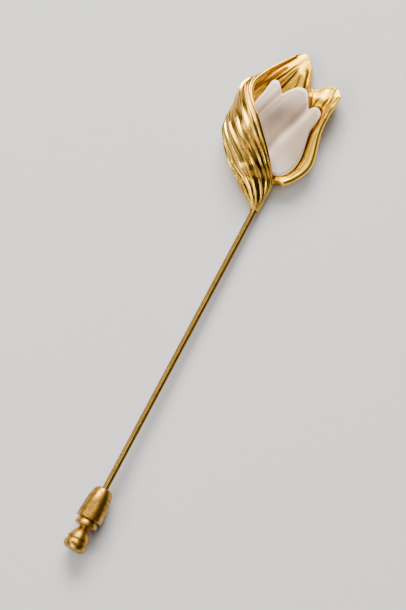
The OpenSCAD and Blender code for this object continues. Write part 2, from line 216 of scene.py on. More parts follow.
# Ribs of the front petal, from its edge to the underside. Each has its sections and its heights, in parts of
# the rib height, at the tail, neck, belly, girth, shoulder and throat, stations 1 to 6, then its half width.
RIBS = [
    [[0.34, 0.34, 0.28, 0.36, 0.36, 0.30], [0.2, 0.25, 0.8, 0.5, 0.9, 0.5], 0.44],
    [[0.80, 0.80, 0.56, 0.86, 0.74, 0.55], [0.25, 0.3, 0.9, 0.6, 1.1, 0.7], 0.50],
    [[1.20, 1.35, 0.98, 1.42, 1.60, 1.05], [0.4, 0.45, 0.8, 0.6, 1.2, 0.9], 0.60],
    [[1.60, 2.00, 1.68, 2.20, 2.65, 1.90], [0.9, 1.1, 1.15, 0.9, 1.2, 0.9], 0.70],
    [[2.42, 2.70, 2.32, 2.85, 3.45, 2.80], [1.0, 1.1, 0.75, 0.8, 1.1, 0.9], 0.60],
    [[3.10, 3.32, 3.05, 3.42, 4.10, 3.50], [0.5, 0.22, 0.2, 0.8, 1.0, 0.8], 0.50],
    [[3.80, 4.00, 3.62, 3.98, 4.60, 4.10], [0.7, 0.9, 1.0, 0.8, 0.8, 0.7], 0.62],
    [[4.45, 4.50, 4.22, 4.56, 5.00, 4.70], [0.6, 0.9, 1.0, 0.9, 0.7, 0.3], 0.60],
]
# Ridges and grooves inside the back and right petals: [station, section] along each, height and half width
FOLDS = [
    [[[5.0, 3.70], [5.3, 3.40], [5.7, 2.90], [6.1, 2.95], [6.5, 2.85]], 0.36, 0.28],
    [[[5.2, 2.75], [5.5, 2.45], [5.8, 2.30], [6.1, 2.45], [6.4, 2.60]], -0.20, 0.20],
    [[[5.2, 1.80], [5.6, 1.65], [6.0, 1.70], [6.6, 1.95]], 0.45, 0.50],
    [[[5.4, 4.00], [5.9, 4.00], [6.3, 4.00], [6.85, 3.75]], -0.17, 0.17],
    [[[5.3, 4.45], [5.85, 4.40], [6.2, 4.46], [6.8, 4.25]], 0.12, 0.22],
    [[[5.5, 3.45], [5.9, 3.48], [6.2, 3.45], [6.5, 3.35]], -0.12, 0.13],
    [[[5.5, 4.80], [5.9, 4.74], [6.2, 4.68], [6.5, 4.55]], -0.11, 0.12],
    [[[5.4, 6.30], [5.9, 6.05], [6.2, 5.75], [6.4, 5.45]], -0.11, 0.13],
    [[[4.65, 4.90], [4.88, 4.68], [5.15, 4.38], [5.45, 4.12]], -0.07, 0.09],
    [[[4.70, 5.02], [4.92, 4.79], [5.20, 4.52], [5.50, 4.27]], -0.07, 0.09],
    [[[4.75, 5.14], [4.97, 4.90], [5.22, 4.66], [5.55, 4.42]], -0.06, 0.09],
    [[[5.2, 5.40], [5.6, 5.23], [6.1, 5.05], [6.7, 4.70]], -0.15, 0.17],
    [[[5.8, 7.20], [6.28, 6.66], [6.62, 6.20], [6.86, 5.60]], -0.18, 0.17],
    [[[5.8, 6.90], [6.28, 6.36], [6.50, 5.85], [6.78, 5.10]], 0.10, 0.22],
    [[[6.1, 7.35], [6.42, 7.05], [6.70, 6.95], [6.90, 6.60]], 0.12, 0.20],
    [[[5.6, 8.62], [5.9, 8.70], [6.28, 8.90]], -0.11, 0.15],
    [[[5.7, 9.35], [5.99, 9.43], [6.4, 9.64]], -0.11, 0.15],
    [[[6.0, 9.85], [6.3, 10.00], [6.7, 10.20]], -0.08, 0.10],
    [[[6.2, 10.45], [6.6, 10.60], [6.95, 10.80]], -0.12, 0.16],
]
# Where the right petal's edge stands over the back petal: [station, section]
STEP_LINE = [[5.2, 8.60], [5.77, 8.39], [6.43, 8.18], [7.0, 8.02]]
# The petals' crown: its station on the back petal, and how much sooner it comes on the right petal
CROWN_STATION = 6.40
CROWN_SOONER = 0.34
# How much of the crown's rise and of the right petal's lean the outer face takes up
OUTER_CROWN = 0.6
OUTER_LEAN = 0.9
# The right side's inner face: its slope away from the bud, and its grooves' [distance from the bud, depth]
FACE_SLOPE = 0.2
FACE_GROOVES = [[0.5, 0.09], [0.88, 0.06]]
GROOVE_WIDTH = 0.09
# The pocket under the bud's right lobe: the line [x, y, 0] of its middle, half width, floor and sides' slope
LOBE_LINE = np.array([[1.30, 15.2, 0], [1.38, 15.85, 0]])
LOBE_RADIUS = 0.68
POCKET_FLOOR = 1.68
POCKET_SLOPE = 4


class CupSettings(PropertyGroup):
    """Sizes and colours of the gilt cup."""

    rib_height: FloatProperty(
        name="Rib height", description="Height of the ribs on the front petal",
        default=0.35 * MM, unit="LENGTH", precision=5)
    crest_width: FloatProperty(
        name="Crest width", description="Half width of the fine crest on each rib",
        default=0.15 * MM, unit="LENGTH", precision=5)
    fold_height: FloatProperty(
        name="Fold height", description="How strongly the folds inside the petals stand out",
        default=1.0, min=0, max=2, subtype="FACTOR")
    step_height: FloatProperty(
        name="Step height", description="Height of the right petal's edge over the back petal",
        default=0.38 * MM, unit="LENGTH", precision=5)
    edge_round: FloatProperty(
        name="Edge rounding", description="Part of the wall's thickness by which its edges are rounded out",
        default=0.3, min=0, max=0.4, subtype="FACTOR")
    crown_height: FloatProperty(
        name="Crown height", description="How far the petals' tops rise before they roll back to their rims",
        default=0.62 * MM, unit="LENGTH", precision=5)
    face_level: FloatProperty(
        name="Face level", description="Height over the floor at which the right side's broad face starts",
        default=2.47 * MM, unit="LENGTH", precision=5)
    lean_height: FloatProperty(
        name="Lean", description="How much higher the right petal's top stands on its far side",
        default=0.45 * MM, unit="LENGTH", precision=5)
    corner: FloatProperty(
        name="Corner", description="How far the right petal's far corner is drawn in",
        default=0.3 * MM, unit="LENGTH", precision=5)
    between: IntProperty(
        name="Columns between ribs", description="Columns of the mesh from one rib to the next",
        default=18, min=6)
    beyond: IntProperty(
        name="Columns beyond ribs", description="Columns of the mesh past the last rib", default=190, min=60)
    rows: IntProperty(name="Rows", description="Rows of the mesh from foot to rim", default=128, min=40)
    gold: FloatVectorProperty(
        name="Gold", description="Colour of the polished gold plate",
        default=linear("#EBBC4C"), size=3, subtype="COLOR")
    satin_gold: FloatVectorProperty(
        name="Satin gold", description="Colour of the plate inside the petals, left satin",
        default=linear("#EEB62A"), size=3, subtype="COLOR")
    # Painted shade: the plate in grooves and recesses is darkened toward this colour, as the shade that falls
    # in them
    groove_shade_gold: FloatVectorProperty(
        name="Gold in recesses", description="Colour of the plate in grooves, where polishing doesn't reach",
        default=linear("#5A380C"), size=3, subtype="COLOR")


class CupShape:
    """The cup's wall as grids of points over stations (rows) and sections (columns)."""

    def __init__(self, between, beyond, rows):
        self.stations = np.linspace(0, RIM, rows)
        # Columns follow the ribs, so that each crest is a line of mesh edges, and crowd toward the crests
        places = np.array([curve(rib[0], np.clip(self.stations - 1, 0, 5))[0] for rib in RIBS]).T
        ends = np.column_stack([np.zeros(rows), places, np.full(rows, len(CUP_SECTIONS) - 1.0)])
        counts = [between // 2] + [between] * (len(RIBS) - 1) + [beyond]
        self.rib_columns = np.cumsum(counts[:-1])
        at = np.concatenate([k + np.arange(n) / n for k, n in enumerate(counts)] + [[len(counts)]])
        crowding = 0.6
        ribbed = at[:self.rib_columns[-1]]
        ribbed -= crowding * np.sin(2 * math.pi * ribbed) / (2 * math.pi)
        self.sections = np.array([np.interp(at, np.arange(len(counts) + 1), row) for row in ends])
        self.grid = self.whole_sections()
        self.base, self.out, self.across, self.along = self.surface(self.stations, self.sections)
        self.wall = self.wall_at(self.stations[:, None], self.sections)

    @staticmethod
    def whole_sections():
        """The tail's rings, cut at each section's angle, before the listed sections."""
        count = len(CUP_SECTIONS)
        grid = np.zeros((len(TAIL_RINGS) + len(CUP_SECTIONS[0]), count, 3))
        for k, (x, y, z, half_width, half_height, lead, seam) in enumerate(TAIL_RINGS):
            angle = np.radians(np.linspace(seam, 360 - seam, count))
            grid[k, :, 0] = x + half_width * np.cos(angle)
            grid[k, :, 1] = y + lead * np.cos(angle)
            grid[k, :, 2] = z + half_height * np.sin(angle)
        grid[len(TAIL_RINGS):] = np.swapaxes(np.array(CUP_SECTIONS), 0, 1)
        return grid

    def surface(self, stations, sections):
        """Points, outward normals and ways across and along at rows of sections, a row for each station."""
        ring, rise = curve(self.grid, stations)
        base, across = (np.array(part) for part in zip(*(curve(*pair) for pair in zip(ring, sections))))
        along = unit(np.array([curve(*pair)[0] for pair in zip(rise, sections)]))
        across = unit(across)
        return base, unit(np.cross(along, across)), across, along

    @staticmethod
    def wall_at(t, s):
        """Thickness of the wall at stations t and sections s."""
        wall = curve(CUP_WALL, t.ravel())[0].reshape(t.shape)
        # The front petal thins out toward the rim, and at its edge where it lies over the glass
        thinned = (0.5 * fade(t, 4.8, 6) + 0.15 * fade(t, 6, RIM)) * (1 - fade(s, 3, 4.5))
        edge = 0.45 * (1 - fade(s, 0, 0.9)) * fade(t, 1.6, 2.6) * (1 - fade(t, 4.4, 5.4))
        return wall * (1 - thinned) * (1 - edge)

    def inner_line(self, stations, sections):
        """Points of the inner face at matching lists of stations and sections."""
        base, out, _, _ = self.surface(stations, sections[:, None])
        depth = self.wall_at(stations[:, None], sections[:, None])
        return (base - out * depth[..., None])[:, 0]


def distance_to_line(points, line):
    """Least distance from each point to a line of points, and how far along the line, from 0 to 1."""
    flat = points.reshape(-1, 3)
    best = np.full(len(flat), 1e9)
    along = np.zeros(len(flat))
    for k, (a, b) in enumerate(zip(line, line[1:])):
        way = b - a
        f = np.clip(((flat - a) @ way) / max(way @ way, 1e-12), 0, 1)
        distance = np.linalg.norm(flat - a - f[:, None] * way, axis=1)
        nearer = distance < best
        best[nearer] = distance[nearer]
        along[nearer] = (k + f[nearer]) / (len(line) - 1)
    return best.reshape(points.shape[:2]), along.reshape(points.shape[:2])


def rib_heights(shape, crest_width):
    """Height of the ribs over the outer face, as parts of the rib height, and the painted shade of each place
    in the grooves beside them, from 0 to 1. Each rib is a fine crest on broad hollow flanks."""
    height = np.zeros(shape.wall.shape)
    groove = np.zeros(shape.wall.shape)
    t = shape.stations
    # Toward the shoulder the flanks deepen into flutes, and toward the tail all grows finer
    flank_part = 0.32 + 0.12 * fade(t, 3.0, 4.3)[:, None]
    fineness = 0.45 + 0.55 * fade(t, 0.4, 2.6)[:, None]
    for column, (_, heights, half_width) in zip(shape.rib_columns, RIBS):
        distance = np.linalg.norm(shape.base - shape.base[:, column:column + 1], axis=2) / fineness
        flank = np.clip(1 - distance / half_width, 0, 1) ** 1.8
        thread = np.clip(1 - (distance / crest_width) ** 2, 0, 1) ** 1.5
        # Ribs rise from the tail's end and die out before the rim
        strength = np.clip(curve(heights, np.clip(t - 1, 0, 5))[0], 0, None)
        strength = (strength * fade(t, 0.3, 1.0) * (1 - fade(t, 5.6, 6.4)))[:, None]
        crest = (flank_part * flank + (1 - flank_part) * thread) * strength
        height = np.maximum(height, crest * fineness)
        # The painted shade in the groove is deepest three quarters of the way down the flank
        beside = np.exp(-(((distance / half_width - 0.75) / 0.3) ** 2))
        groove = np.maximum(groove, beside * np.clip(strength, 0, 1))
    return height, groove * (1 - np.clip(height * 2.5, 0, 1))


def fold_heights(shape, inner):
    """Height of the folds over the inner face."""
    height = np.zeros(shape.wall.shape)
    for line, strength, half_width in FOLDS:
        places = np.linspace(0, len(line) - 1, 30)
        stations, sections = (curve(np.array(line)[:, k], places)[0] for k in (0, 1))
        distance, along = distance_to_line(inner, shape.inner_line(stations, sections))
        # Each fold dies out toward both its ends
        taper = fade(along, 0, 0.25) * (1 - fade(along, 0.8, 1))
        height += strength * taper * np.exp(-((distance / half_width) ** 2))
    return height


def top_rise(shape, right_petal, settings):
    """Heights of the crown over which both petals roll back to their rims, and of the right petal's lean."""
    t, s = shape.stations[:, None], shape.sections
    crest = CROWN_STATION - CROWN_SOONER * right_petal
    crown = fade(t, crest - 0.9, crest + 0.15) * (1 - np.clip((t - crest) / (RIM - crest), 0, 1) ** 1.3)
    crown = crown * fade(s, 1.2, 3.0) * (1 + 0.2 * right_petal) * settings.crown_height / MM
    lean = fade(t, 5.4, 6.3) * right_petal * np.clip(s - 8.5, 0, 2.5) / 2.5 * settings.lean_height / MM
    return crown, lean


def right_face(shape, inner, level):
    """The right side's inner face, which steps up beside the bud and slopes gently away from it: its height,
    from 0 to 1 where it holds, and how deep its grooves are."""
    t, s = shape.stations[:, None], shape.sections
    gap = inner[..., 0] - np.interp(inner[..., 1], BUD_SIDE[:, 1], BUD_SIDE[:, 0])
    grooves = sum(depth * np.exp(-(((gap - at) / GROOVE_WIDTH) ** 2)) for at, depth in FACE_GROOVES)
    # The grooves are deepest at the foot
    face = level + FACE_SLOPE * np.clip(gap, 0, 2.0)
    face = face - grooves * (1 - 0.6 * fade(inner[..., 1], 8, 12))
    part = fade(gap, 0.08, 0.42) * fade(s, 8.3, 8.7) * fade(t, 1.3, 1.9) * (1 - fade(t, 5.2, 6.0))
    return face, part, grooves


def cup_faces(shape, settings):
    """Grids of the cup's outer and inner points, and of the painted shade in their grooves and recesses, from
    0 to 1.
    """
    t, s = shape.stations[:, None], shape.sections
    ribs, rib_groove_shade = rib_heights(shape, settings.crest_width / MM)
    outer = shape.base + shape.out * (ribs * settings.rib_height / MM)[..., None]
    outer[..., 2] = np.maximum(outer[..., 2], 0)
    inner = shape.base - shape.out * shape.wall[..., None]
    # The step is steep along its line and runs out over the right petal. Folds end at the rim.
    step_at = np.interp(shape.stations, *np.array(STEP_LINE).T)[:, None]
    step = settings.step_height / MM * fade(s - step_at, -0.03, 0.12) * (1 - fade(s - step_at, 0.9, 2.2))
    step = step * fade(t, 5.1, 5.7)
    folds = fold_heights(shape, inner) * settings.fold_height * (1 - fade(t, 6.75, RIM))
    inner = inner - shape.out * (folds + step * (1 - fade(t, 6.9, RIM) * 0.4))[..., None]
    crown, lean = top_rise(shape, fade(s - step_at, -0.1, 0.4), settings)
    outer[..., 2] += OUTER_CROWN * crown + OUTER_LEAN * lean
    inner[..., 2] += crown + lean
    face, part, face_grooves = right_face(shape, inner, settings.face_level / MM)
    inner[..., 2] += part * np.clip(face - inner[..., 2], 0, None)
    # A pocket clears the tip of the bud's right lobe
    beside = np.clip(distance_to_line(inner * [1, 1, 0], LOBE_LINE)[0] - LOBE_RADIUS, 0, None)
    inner[..., 2] = np.minimum(inner[..., 2], POCKET_FLOOR + POCKET_SLOPE * beside)
    # The right petal's far corner is rounded off
    corner = (fade(s, 10.1, 11) * fade(t, 6.3, RIM))[..., None] * (shape.across + shape.along)
    corner = corner * settings.corner / MM
    # Painted shade in the grooves beside the ribs, on the front petal only
    outer_shade = rib_groove_shade * (1 - fade(s, 4.8, 5.4))
    # Painted shade darkens the narrow place between the front petal and the bud's left lobe
    narrow = 0.12 * np.exp(-(((t - 5.05) / 0.3) ** 2) - ((s - 4.6) / 0.5) ** 2)
    # Painted shade: folds 0.12 mm deep and grooves 0.1 mm deep count as full recesses, and the right side's
    # broad face gets a tenth of full shade all over
    inner_shade = np.clip(-folds / 0.12 + part * (0.1 + face_grooves / 0.11) + narrow, 0, 1)
    return outer - corner, inner - corner, outer_shade, inner_shade


def closed_shell(shape, outer, inner, edge_round):
    """Points and faces of a wall with rounded edges, and each edge point's place in the grid."""
    rows, columns = shape.wall.shape
    count = rows * columns

    def index(r, c):
        return r * columns + c

    faces = []
    for r in range(rows - 1):
        for c in range(columns - 1):
            a, b, d, e = index(r, c), index(r, c + 1), index(r + 1, c), index(r + 1, c + 1)
            faces.append((a, d, e, b))
            faces.append((count + a, count + b, count + e, count + d))
    loop = [(0, c) for c in range(columns)]
    loop += [(r, columns - 1) for r in range(1, rows)]
    loop += [(rows - 1, c) for c in range(columns - 2, -1, -1)]
    loop += [(r, 0) for r in range(rows - 2, 0, -1)]
    # Arcs of points lead round the edge from the outer face to the inner one
    arcs = 8
    edge = []
    for r, c in loop:
        sideways = (c == columns - 1) - (c == 0)
        outward = unit(shape.across[r, c] * sideways + shape.along[r, c] * (r == rows - 1))
        bulge = edge_round * (fade(shape.stations[r], 1.4, 2.4) if r < rows - 1 else 1)
        start, stop = outer[r, c], inner[r, c]
        reach = np.linalg.norm(stop - start) * bulge
        for k in range(1, arcs + 1):
            angle = math.pi * k / (arcs + 1)
            f = (1 - math.cos(angle)) / 2
            edge.append(start * (1 - f) + stop * f + outward * reach * math.sin(angle))
    first = 2 * count
    for k, (r, c) in enumerate(loop):
        n = (k + 1) % len(loop)
        here = [index(r, c)] + [first + k * arcs + j for j in range(arcs)] + [count + index(r, c)]
        there = [index(*loop[n])] + [first + n * arcs + j for j in range(arcs)] + [count + index(*loop[n])]
        for j in range(arcs + 1):
            faces.append((here[j], there[j], there[j + 1], here[j + 1]))
    points = np.concatenate([outer.reshape(-1, 3), inner.reshape(-1, 3), np.array(edge)])
    return points, faces, [index(r, c) for r, c in loop for _ in range(arcs)]


def cup_mesh(settings):
    """Points and faces of the cup, and for each point its painted shade in grooves (recess), how satin it is
    left, and its place across the ribs (lane) and along them (run)."""
    shape = CupShape(settings.between, settings.beyond, settings.rows)
    outer, inner, outer_shade, inner_shade = cup_faces(shape, settings)
    points, faces, at_edge = closed_shell(shape, outer, inner, settings.edge_round)
    recess = np.concatenate([outer_shade.ravel(), inner_shade.ravel(), np.zeros(len(at_edge))])
    satin_inner = 1 - 0.5 * fade(shape.stations, 6.6, RIM)[:, None] * np.ones(shape.wall.shape)
    satin = np.concatenate([np.zeros(shape.wall.size), satin_inner.ravel(), np.full(len(at_edge), 0.5)])
    # Places in millimetres, as they are at the girth
    girth = shape.base[int(settings.rows * GIRTH / RIM)]
    across = np.concatenate([[0], np.cumsum(np.linalg.norm(np.diff(girth, axis=0), axis=1))])
    lanes = np.tile(across, settings.rows)
    runs = np.repeat(shape.stations * STATION_LENGTH, len(across))
    lane, run = (np.concatenate([part, part, part[at_edge]]) for part in (lanes, runs))
    return points, faces, {"recess": recess, "satin": satin, "lane": lane, "run": run}


# The bud

BUD_MIDDLE = np.array([-2.3, 10.4])
# Half axes of the face's dome over the middle. Its inner rings are ovals too, this part of the dome's size.
BUD_DOME = np.array([5.7, 8.5])
BUD_CORE = 0.78
# The face's level round the dome at y = 8, its rise toward the lobes, and the glass's thickness at its edge
BUD_LEVEL = 1.95
BUD_RISE = 0.055
BUD_EDGE = 0.45
# Creases of the face: [x, y] at the notch, [x, y] where it ends, depth, half width
BUD_CREASES = [
    [[-4.0, 15.9], [-5.9, 10.4], 0.42, 0.5],
    [[0.2, 15.7], [-1.8, 8.0], 0.36, 0.65],
]
# How much light comes through the glass, from 0 to 1, painted into its colour, and how its edge and patches
# change that: the edge painted lighter, a painted highlight at the foot and along the right crease, and
# painted shade over the middle.
# Each patch has its middle, half widths, tilt as cosine and sine, and change.
GLASS_LIGHT = 0.53
EDGE_LIGHT = 0.1
FOOT_HIGHLIGHT = [[0.1, 5.6], [2.2, 2.4], [1, 0], 0.6]
CREASE_HIGHLIGHT = [[-1.5, 9.8], [0.45, 2.0], [0.96, 0.28], 0.55]
SHADE_PATCH = [[-3.1, 12.8], [2.3, 3.6], [0.92, 0.38], -0.46]


class BudSettings(PropertyGroup):
    """Sizes and colours of the glass bud."""

    crown: FloatProperty(
        name="Crown", description="Height of the bud's face above its tips",
        default=1.9 * MM, unit="LENGTH", precision=5)
    keel: FloatProperty(
        name="Keel", description="Extra thickness of the glass in its middle",
        default=2.0 * MM, unit="LENGTH", precision=5)
    bevel: FloatProperty(
        name="Bevel", description="Depth of the bevel round the bud's edge",
        default=0.15 * MM, unit="LENGTH", precision=5)
    steps: IntProperty(
        name="Steps", description="Steps of the mesh between two outline points", default=9, min=2)
    # Painted light: the glass's colour runs from this painted shade to the thin glass's colour, by the light
    # painted into it
    thick_shaded_glass: FloatVectorProperty(
        name="Thick glass", description="Colour of the frosted glass where it is thickest",
        default=linear("#50301C"), size=3, subtype="COLOR")
    thin_lit_glass: FloatVectorProperty(
        name="Thin glass", description="Colour of the frosted glass where it is thin",
        default=linear("#FFDFBA"), size=3, subtype="COLOR")
    # Painted highlight: the colour along the bevel and at the foot
    bevel_highlight_glass: FloatVectorProperty(
        name="Edge", description="Colour of the frosted glass along its bevelled edge",
        default=linear("#FFF6EA"), size=3, subtype="COLOR")


def bud_outline(steps):
    """Points round the bud, so many steps from each listed point to the next."""
    rows = []
    for points in BUD_CURVES:
        x = np.arange((len(points) - 1) * steps) / steps
        rows.append(curve(points, x)[0])
    return np.concatenate(rows)


def dome(p, crown):
    """Height of the bud's face at points [x, y], before its creases and its bevel."""
    d = (p - BUD_MIDDLE) / BUD_DOME
    return BUD_LEVEL + crown * np.maximum(0, 1 - (d * d).sum(-1)) + BUD_RISE * (p[..., 1] - 8)


def crease_depth(p):
    """How deep the creases are at points [x, y]."""
    depth = np.zeros(p.shape[:-1])
    for start, stop, deep, half_width in BUD_CREASES:
        a, way = np.array(start), np.array(stop) - np.array(start)
        f = np.clip(((p - a) @ way) / (way @ way), 0, 1)
        away = np.linalg.norm(p - a - f[..., None] * way, axis=-1)
        depth += deep * np.exp(-((away / half_width) ** 2))
    return depth


def patch_part(p, middle, half_widths, tilt):
    """From 0 away from a patch of the glass to 1 in its middle."""
    cosine, sine = tilt
    return np.exp(-((((p - middle) @ [[cosine, sine], [-sine, cosine]]) / half_widths) ** 2).sum(-1))


def painted_glass_light(p, f):
    """Light painted into the glass, from 0 where the glass is thick to 1 where it lets light through, f of
    the way to the outline, with painted highlights at the foot and crease and painted shade in the middle.
    """
    light = GLASS_LIGHT + EDGE_LIGHT * f**5
    for *patch, change in (FOOT_HIGHLIGHT, CREASE_HIGHLIGHT, SHADE_PATCH):
        light = light + change * patch_part(p, *patch)
    return np.clip(light, 0, 1)


def capped_rings(rings, top, under):
    """Points and faces of a shell of rings, closed by a point over the first and one under the last."""
    around, last = len(rings[0]), len(rings) - 1
    over, below = around * (last + 1), around * (last + 1) + 1
    faces = []
    for k in range(around):
        n = (k + 1) % around
        faces.append((over, k, n))
        faces.append((below, last * around + n, last * around + k))
        for j in range(last):
            a, b = j * around, (j + 1) * around
            faces.append((a + k, b + k, b + n, a + n))
    return np.concatenate(rings + [top[None], under[None]]), faces


def bud_mesh(settings):
    """Points and faces of the bud, and for each point its painted highlight along the bevel and at the foot,
    and the light painted into the glass.
    """
    outline = bud_outline(settings.steps)
    away = outline - BUD_MIDDLE
    core = away * BUD_CORE / np.linalg.norm(away / BUD_DOME, axis=1)[:, None]
    crown, keel, bevel = settings.crown / MM, settings.keel / MM, settings.bevel / MM

    def spots(f):
        # Rings turn from ovals to the lobed outline over the outer two fifths of the face
        lobed = fade(np.array(f), 0.6, 1)
        return BUD_MIDDLE + (core * (1 - lobed) + away * lobed) * f

    # Rings of the face crowd toward its bevelled edge
    crowded = 0.9 + 0.1 * np.sin(np.linspace(0, math.pi / 2, 9)[1:])
    face_parts = np.concatenate([np.linspace(0.05, 0.9, 30), crowded])
    back_parts = np.linspace(0.08, 1, 20)
    # Each point gets the light painted into the glass, with its painted highlights and shade, and the painted
    # highlight along the bevel and at the foot
    rings, thin, bevel_and_foot_highlight = [], [], []
    for f in face_parts:
        p = spots(f)
        thin.append(painted_glass_light(p, f))
        # Painted highlight along the bevel and at the foot
        bevel_and_foot_highlight.append(np.maximum(fade(f, 0.93, 0.97), 0.8 * patch_part(p, *FOOT_HIGHLIGHT[:3])))
        # A fine raised line just inside the bevel, then the bevel itself
        line = 0.05 * np.exp(-(((f - 0.925) / 0.018) ** 2))
        z = dome(p, crown) - crease_depth(p) + line - bevel * f**14 - 0.12 * max(0, (f - 0.96) / 0.04) ** 2
        rings.append(np.column_stack([p, z]))
    for f in back_parts[::-1]:
        p = spots(f * 0.995)
        thin.append(painted_glass_light(p, f))
        # Painted highlight toward the edge of the underside
        bevel_and_foot_highlight.append(np.full(len(p), f**6))
        z = dome(p, crown) - BUD_EDGE - bevel - keel * (1 - f * f) ** 0.8
        rings.append(np.column_stack([p, z]))
    top = np.append(BUD_MIDDLE, float((dome(BUD_MIDDLE, crown) - crease_depth(BUD_MIDDLE[None]))[0]))
    under = np.append(BUD_MIDDLE, float(dome(BUD_MIDDLE, crown)) - BUD_EDGE - bevel - keel)
    points, faces = capped_rings(rings, top, under)
    bevel_and_foot_highlight = np.concatenate(bevel_and_foot_highlight + [[0, 0]])
    thin = np.concatenate(thin + [painted_glass_light(BUD_MIDDLE[None], 0)] * 2)
    return points, faces, {"bevel_and_foot_highlight": bevel_and_foot_highlight, "thin": thin}


# The wire and the guard


class WireSettings(PropertyGroup):
    """Sizes and colours of the wire."""

    radius: FloatProperty(
        name="Radius", description="Radius of the wire",
        default=frame["record"]["mounts"][0]["dims"]["r_mm"] * MM, unit="LENGTH", precision=5)
    segments: IntProperty(name="Segments", description="Faces round the wire", default=64, min=16)
    gold: FloatVectorProperty(
        name="Gold", description="Colour of the gold plate on the wire",
        default=linear("#B08A3C"), size=3, subtype="COLOR")
    tarnish: FloatVectorProperty(
        name="Tarnish", description="Colour of the plate where it has tarnished",
        default=linear("#785620"), size=3, subtype="COLOR")


class GuardSettings(PropertyGroup):
    """Sizes and colours of the guard."""

    radius: FloatProperty(
        name="Radius", description="Radius of the barrel at its widest", default=1.88 * MM,
        unit="LENGTH", precision=5)
    segments: IntProperty(name="Segments", description="Faces round the guard", default=160, min=24)
    plate: FloatVectorProperty(
        name="Plate", description="Colour of the gold plate where it is whole",
        default=linear("#B88B34"), size=3, subtype="COLOR")
    worn: FloatVectorProperty(
        name="Worn plate", description="Colour where the plate is thin and tarnished",
        default=linear("#6E4415"), size=3, subtype="COLOR")


# Profiles hold rows of [distance along the wire, radius, rounding]


def wire_profile(r):
    """The wire from its end in the cup's tail, through its soldered collar, to its point inside the guard."""
    rows = [
        [-1.4, 0, 0], [-1.4, 0.29, 0.05], [0.02, 0.29, 0], [0.02, 0.60, 0.08], [0.16, 0.62, 0.1],
        [0.32, 0.60, 0.12], [0.50, r, 0.12], [1.2, r, 0],
    ]
    shaft = [[d, r, 0] for d in np.linspace(4, GUARD_AT - 0.5, 60)]
    end = [[GUARD_AT + 1.5, r, 0.2], [GUARD_AT + 2.7, 0.06, 0.05], [GUARD_AT + 2.7, 0, 0]]
    return rounded(rows + shaft + end, 5)


def barrel_profile(wide):
    """The guard's barrel: mouth, tapered shoulder, straighter side, groove and end ring, then its inside."""
    bore, cavity, neck_hole = 0.52, 1.15, 0.76
    rows = [
        [0.4, bore, 0], [0.0, bore, 0.06], [0.0, 1.04, 0.12], [0.14, 1.20, 0.12], [0.6, wide - 0.48, 0.3],
        [1.2, wide - 0.31, 0.4], [1.9, wide - 0.18, 0.5], [2.8, wide - 0.1, 0.6], [3.8, wide - 0.04, 0.6],
        [4.4, wide, 0.3], [4.68, wide, 0.12], [4.8, wide - 0.12, 0.05],
        [4.86, wide - 0.56, 0.06], [4.96, wide - 0.56, 0.06], [5.05, wide - 0.42, 0.08],
        [5.3, wide - 0.33, 0.2], [5.56, wide - 0.26, 0.15], [5.76, wide - 0.31, 0.12],
        [5.85, wide - 0.5, 0.1], [5.85, neck_hole, 0.04], [5.05, neck_hole, 0.02],
        [5.05, cavity, 0.02], [1.3, cavity, 0.05], [1.3, bore, 0.02], [0.8, bore, 0],
    ]
    return [[GUARD_AT + d, r] for d, r in rounded(rows, 6)]


def knob_profile():
    """The guard's knob: a catch in the barrel, a neck, a bell, a groove and a round band with a flat end."""
    rows = [
        [3.4, 0, 0], [3.4, 1.09, 0.06], [4.0, 1.09, 0.06], [4.0, 0.7, 0.02], [6.2, 0.7, 0.25],
        [6.5, 0.88, 0.2], [6.8, 1.10, 0.2], [7.15, 1.31, 0.2], [7.5, 1.47, 0.2], [7.82, 1.60, 0.1],
        [7.95, 1.58, 0.06], [8.03, 1.46, 0.05], [8.12, 1.46, 0.05], [8.2, 1.54, 0.05], [8.6, 1.69, 0.1],
        [8.85, 1.66, 0.2], [9.15, 1.54, 0.2], [9.38, 1.36, 0.12], [9.45, 1.2, 0.05], [9.45, 0, 0],
    ]
    return [[GUARD_AT + d, r] for d, r in rounded(rows, 6)]


# Materials


# Sockets of a mix node for colours, which share their names with others: two inputs and the result
FIRST, SECOND, MIXED = 6, 7, 2


def feed(tree, node, inputs):
    """Sets a node's inputs, each by its name or number, to a value or to another node's (node, output)."""
    for key, source in inputs.items():
        socket = node.inputs[key]
        if isinstance(source, tuple) and isinstance(source[0], bpy.types.Node):
            tree.links.new(source[0].outputs[source[1]], socket)
        elif socket.type == "RGBA":
            socket.default_value = (*source, 1)
        else:
            socket.default_value = source


def add(tree, kind, inputs=None, **settings):
    """Adds a node with its settings and inputs."""
    node = tree.nodes.new(kind)
    for key, value in settings.items():
        setattr(node, key, value)
    feed(tree, node, inputs or {})
    return node


def start_material(name):
    """A material whose node tree has only its output and surface shader."""
    material = bpy.data.materials.new(name)
    material.use_nodes = True
    tree = material.node_tree
    tree.nodes.clear()
    shader = add(tree, "ShaderNodeBsdfPrincipled")
    add(tree, "ShaderNodeOutputMaterial", {"Surface": (shader, "BSDF")})
    return material, tree, shader


def per(millimetres):
    """The scale of a pattern in object space that repeats each so many millimetres."""
    return 1 / (millimetres * MM)


